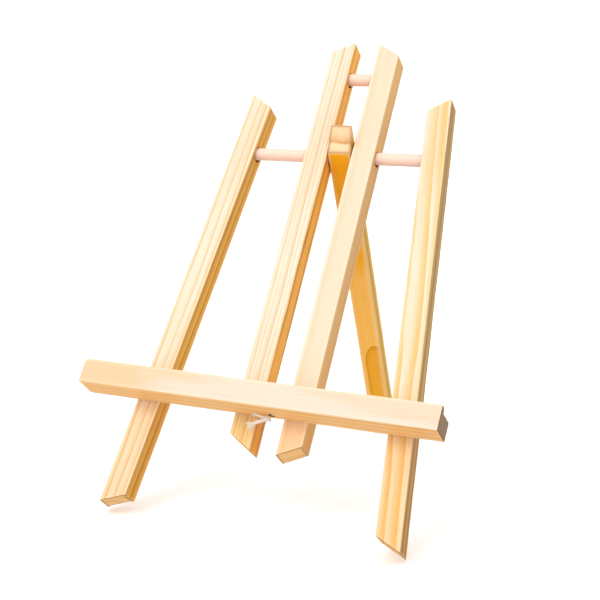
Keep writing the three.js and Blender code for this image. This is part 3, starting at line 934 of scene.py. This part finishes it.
ledgeFacts = {
    "edgeRadius": 0.7 * mm,
    "endRadius": 0.5 * mm,
    "endZone": 4 * mm,  # where the rings lie closer together
    "step": 1.4 * mm,
    "waviness": 0.06 * mm,
    "wear": 0.3 * mm,
    "lipHeight": 3.2 * mm,
    "lipThickness": 4 * mm,
    "lipSlope": 0.3 * mm,
    "cornerRadius": {"left": 3.2 * mm, "right": 0.9 * mm},  # of the front's two upper corners
}
ledgeLook = {
    # the end's dark grey-brown is partly end grain and partly painted shade, for the end faces away from
    # the light
    "front": (238, 206, 186), "blush": (238, 192, 152), "side": (253, 198, 128), "end": (144, 120, 96),
    "line": (236, 184, 138), "sideLine": (206, 142, 76), "endLine": (112, 84, 56),
    "foot": (1.0, 1.0, 1.0), "footStart": -500.0,
    "pith": (8.0, 46.0), "ringWidth": 5.5, "narrow": 2.0, "strength": 0.35, "tilt": 0.02,
    "driftLean": 0.008, "driftStart": 52.0,
}


def makeLedge():
    # the section with its lip carried from end to end, drawn in along a quarter circle at both
    facts = ledgeFacts
    points = outlinePoints("ledge", ledgeAxes)
    low, high = points.min(0), points.max(0)
    shelf = high[2] - facts["lipHeight"]
    lip = low[1] + facts["lipThickness"]
    corners = [
        (high[1], low[2]), (high[1], shelf), (lip, shelf), (lip - facts["lipSlope"], high[2]),
        (low[1], high[2]), (low[1], low[2]),
    ]
    loop = roundedLoop(corners, facts["edgeRadius"], facts["step"])
    draw, rise = quarterTurn(facts["endRadius"])
    near = np.linspace(facts["endRadius"], facts["endZone"], 12)
    body = np.linspace(low[0] + facts["endZone"], high[0] - facts["endZone"], 140)[1:-1]
    body = np.concatenate([low[0] + near[1:], body, high[0] - near[:0:-1]])
    stations = np.concatenate([low[0] + rise, body, high[0] - rise[::-1]])
    inset = np.concatenate([draw, 0 * body, draw[::-1]])[:, None]
    corner = cornerShare(loop, surfaceFacts["cornerReach"])
    inset = inset + facts["wear"] * corner[None] * unevenness(stations, 71)[:, None] ** 2
    inset = inset + facts["waviness"] * unevenness(stations, 77, 5, 0.3)[:, None] * (1 - corner)[None]
    along = np.broadcast_to(stations[:, None], (len(stations), len(loop)))
    axes = np.array([ledgeAxes[1], ledgeAxes[2], ledgeAxes[0]])
    rings = carried(loop, inset, along, axes, hingePlace)
    fall = cornerDrop(stations - low[0], facts["cornerRadius"]["left"])
    fall = fall + cornerDrop(high[0] - stations, facts["cornerRadius"]["right"])
    share = np.clip((loop[:, 1] - low[2]) / (high[2] - low[2]), 0, 1)
    rings = rings - (fall[:, None] * share[None])[..., None] * ledgeAxes[2]
    endNear = np.minimum(stations - low[0], high[0] - stations)[:, None]
    rings, values = closedEnds(rings, {"edgeWear": edgeWear(corner, endNear)})
    piece = addMesh("canvasLedge", rings, values=values)
    slant = stringCorners[1] - stringCorners[0]
    slant /= np.linalg.norm(slant)
    beyond = 5 * mm * slant
    bore(piece, stringCorners[0] - beyond, stringCorners[1] + beyond, stringFacts["holeRadius"], 24)
    axes = np.array([ledgeAxes[2], ledgeAxes[1], -ledgeAxes[0]])
    markFaces(piece, axes)
    place = hingePlace + ((low + high) / 2) @ ledgeAxes
    material = pine("ledge pine", axes, place, **ledgeLook)
    return finishPiece(piece, "front_frame", material, "ledge_pine", "ledge")


makeLedge()
print("ledge made")

# rear leg

legFacts = {
    "headRadius": {"left": 2.4 * mm, "right": 1.4 * mm},  # of the head's two upper corners
    "leastEnd": 0.2,  # counts the head's rounded corners in with its slanted cut
}
legLook = {
    # the blush here is painted shade: deep orange rising on the front towards the head, where the leg lies
    # between the uprights
    "front": (254, 193, 88), "blush": (248, 174, 1), "driftLean": 0.02, "driftStart": -86.0,
    "side": (220, 170, 62), "end": (250, 211, 166), "line": (206, 128, 50), "sideLine": (146, 96, 30),
    "foot": (1.0, 1.0, 1.0), "footStart": -500.0,
    "pith": (2.0, 45.5), "ringWidth": 7.5, "shift": 2.25, "narrow": 2.6, "strength": 0.85,
    "wander": 0.05, "uneven": 0.0,
    "arch": {
        "across": 4.7, "apex": -144.0, "halfWidth": 8.8, "cap": 17.0,
        "colour": (230, 156, 2), "rim": (184, 110, 10),
    },
}


def roundedHead(along, loop, low, high):
    # the points above the axle are lowered in proportion to their height, most at the two sides
    fall = cornerDrop(loop[:, 0] - low[0], legFacts["headRadius"]["left"])
    fall = fall + cornerDrop(high[0] - loop[:, 0], legFacts["headRadius"]["right"])
    return along - fall[None] * np.clip(along / high[2], 0, 1)


def makeRearLeg():
    piece = barSurface("rearLeg", "rear_leg", legAxes, 90, roundedHead)
    across = 20 * mm * legAxes[0]
    bore(piece, hingePlace - across, hingePlace + across, dowelFacts["legHoleRadius"])
    through = 10 * mm * legAxes[1]
    bore(piece, stringCorners[2] - through, stringCorners[3] + through, stringFacts["holeRadius"], 24)
    markFaces(piece, legAxes, legFacts["leastEnd"])
    material = pine("rear leg pine", legAxes, grainPlace("rear_leg", legAxes), **legLook)
    return finishPiece(piece, "swinging_leg", material, "leg_pine", "rear_leg")


makeRearLeg()
print("rear leg made")

# floor and light

studio = {
    "floor": (254, 253, 252),
    "floorSize": 24,
    "floorDrop": 0.4 * mm,
    "surround": {"above": 1.2, "below": 0.95},
    "key": {"from": (-0.5, -1.0, 1.5), "strength": 0.8, "angle": 24},
}


def makeFloor():
    bpy.ops.mesh.primitive_plane_add(size=studio["floorSize"], location=(0, 0, -studio["floorDrop"]))
    floor = bpy.context.object
    floor.name = "floor"
    n = Nodes("pale floor")
    n.shader.inputs["Base Color"].default_value = (*linear(*studio["floor"]), 1)
    n.shader.inputs["Roughness"].default_value = 0.9
    n.shader.inputs["Specular IOR Level"].default_value = 0.1
    floor.data.materials.append(n.material)
    floor.visible_diffuse = False  # its bounce would wash out the undersides


def makeLights():
    # the surround fades from its upper to its lower strength round the horizon
    world = bpy.data.worlds.new("studio")
    bpy.context.scene.world = world
    world.use_nodes = True
    nodes, links = world.node_tree.nodes, world.node_tree.links
    direction, parts = nodes.new("ShaderNodeTexCoord"), nodes.new("ShaderNodeSeparateXYZ")
    fade = nodes.new("ShaderNodeMapRange")
    fade.inputs["From Min"].default_value, fade.inputs["From Max"].default_value = -0.3, 0.0
    fade.inputs["To Min"].default_value = studio["surround"]["below"]
    fade.inputs["To Max"].default_value = studio["surround"]["above"]
    links.new(direction.outputs["Generated"], parts.inputs[0])
    links.new(parts.outputs[2], fade.inputs["Value"])
    links.new(fade.outputs[0], nodes["Background"].inputs["Strength"])
    nodes["Background"].inputs["Color"].default_value = (1, 1, 1, 1)
    data = bpy.data.lights.new("key", "SUN")
    data.energy, data.angle = studio["key"]["strength"], math.radians(studio["key"]["angle"])
    lamp = bpy.data.objects.new("key", data)
    bpy.context.scene.collection.objects.link(lamp)
    lamp.rotation_euler = Vector(studio["key"]["from"]).to_track_quat("Z", "Y").to_euler()
    bpy.context.scene.view_settings.view_transform = "Standard"


makeFloor()
makeLights()
print("floor and light made")
